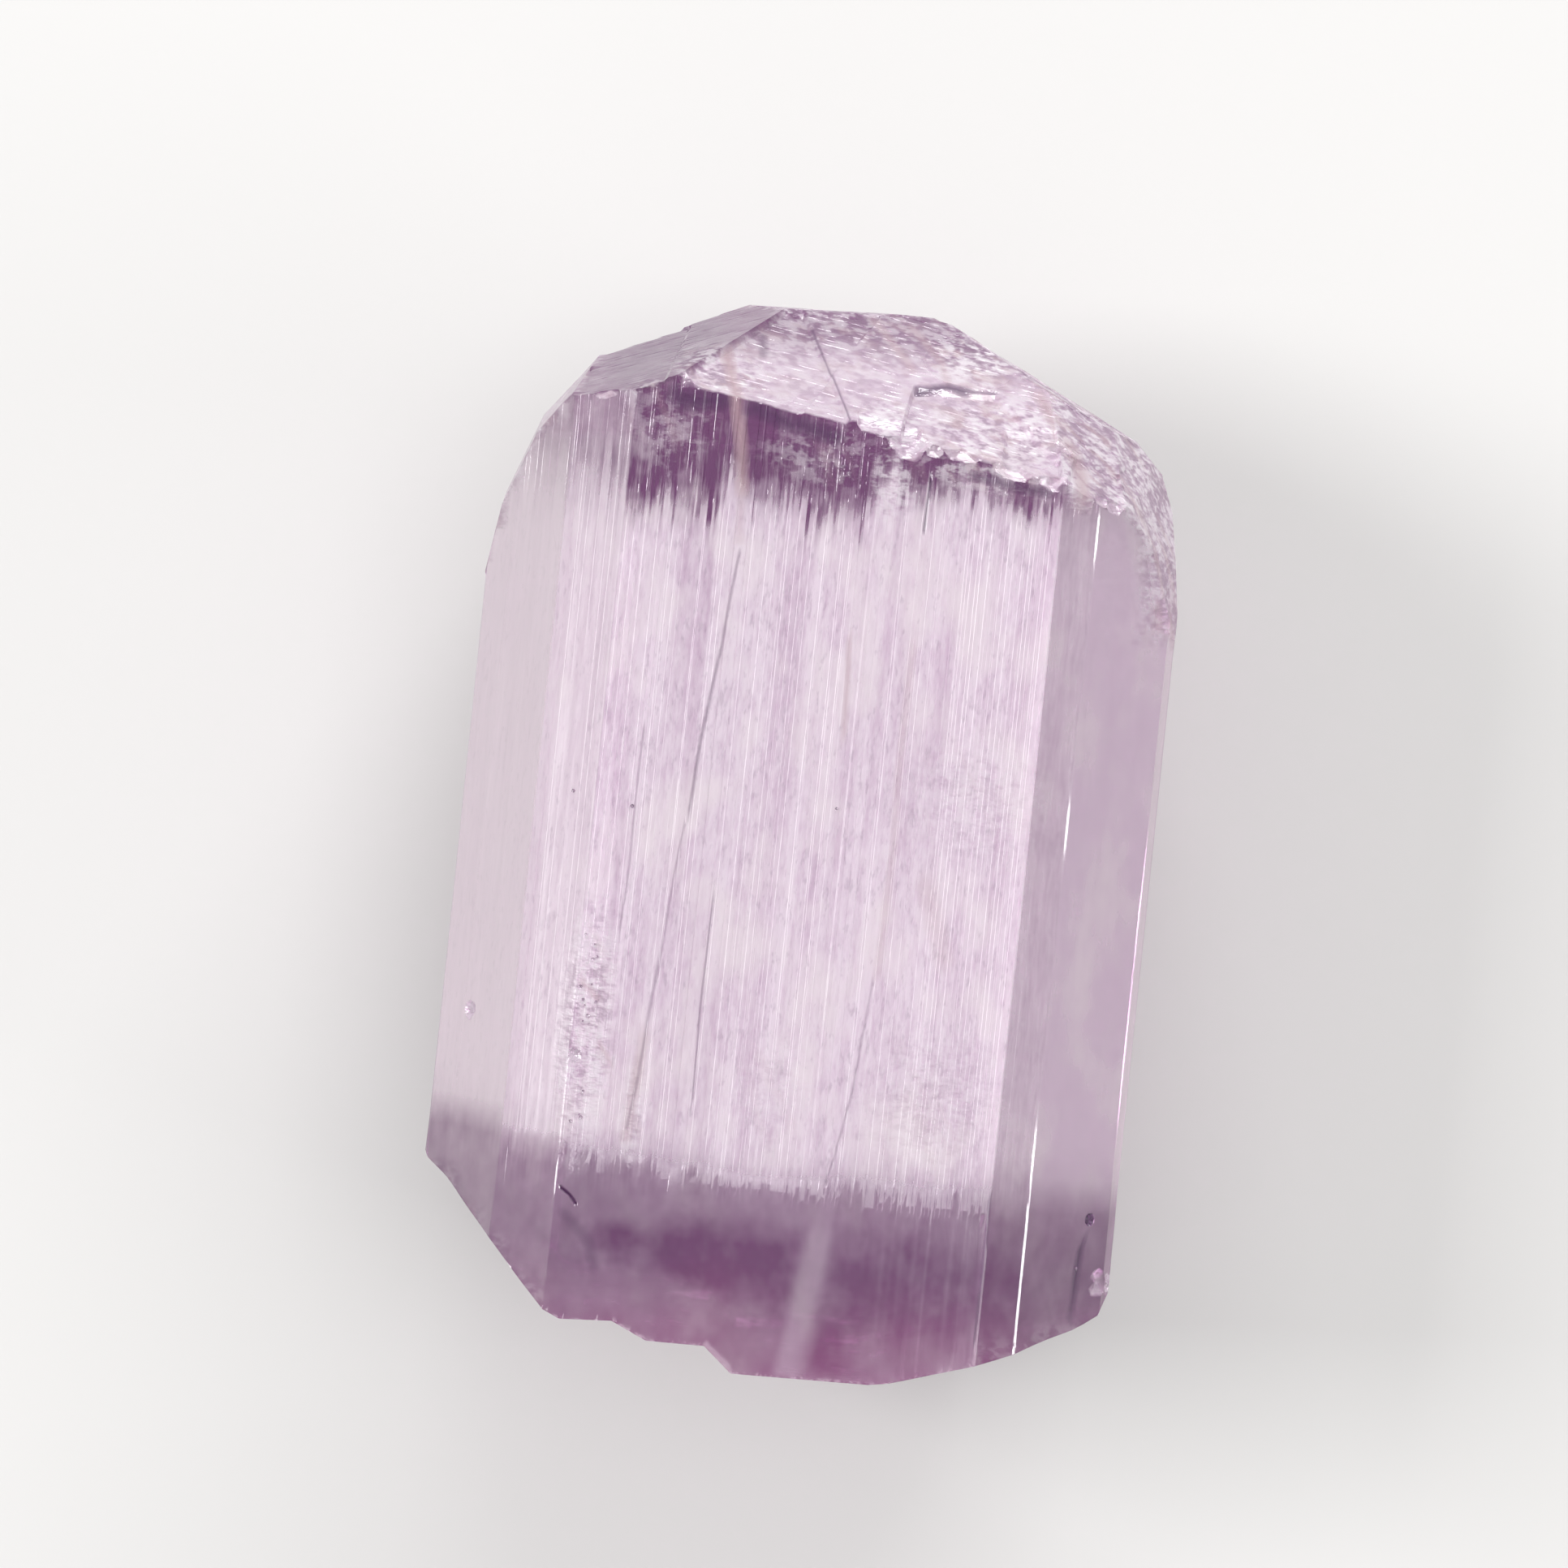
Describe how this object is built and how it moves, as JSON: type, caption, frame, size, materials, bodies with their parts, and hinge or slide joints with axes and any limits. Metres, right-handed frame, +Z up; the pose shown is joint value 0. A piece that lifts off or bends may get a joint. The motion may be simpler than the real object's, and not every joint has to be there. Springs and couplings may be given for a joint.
{
  "type": "scapolite crystal",
  "caption": "Stubby prism of clear violet scapolite with growth grooves, a low pyramid at one end and a broken end, lying on a prism face.",
  "frame": {"origin": "on the surface that the crystal lies on, under the middle of its box", "axes": "+Y along the crystal towards its pyramid, +Z up out of the front prism face, +X across it"},
  "size_m": [0.0156, 0.024, 0.0116],
  "materials": {
    "violet_scapolite": "silky growth grooves on the prism, pitted bright pyramid, deeper violet at both ends"
  },
  "bodies": {
    "root": {"crystal": "violet_scapolite"}
  },
  "joints": []
}
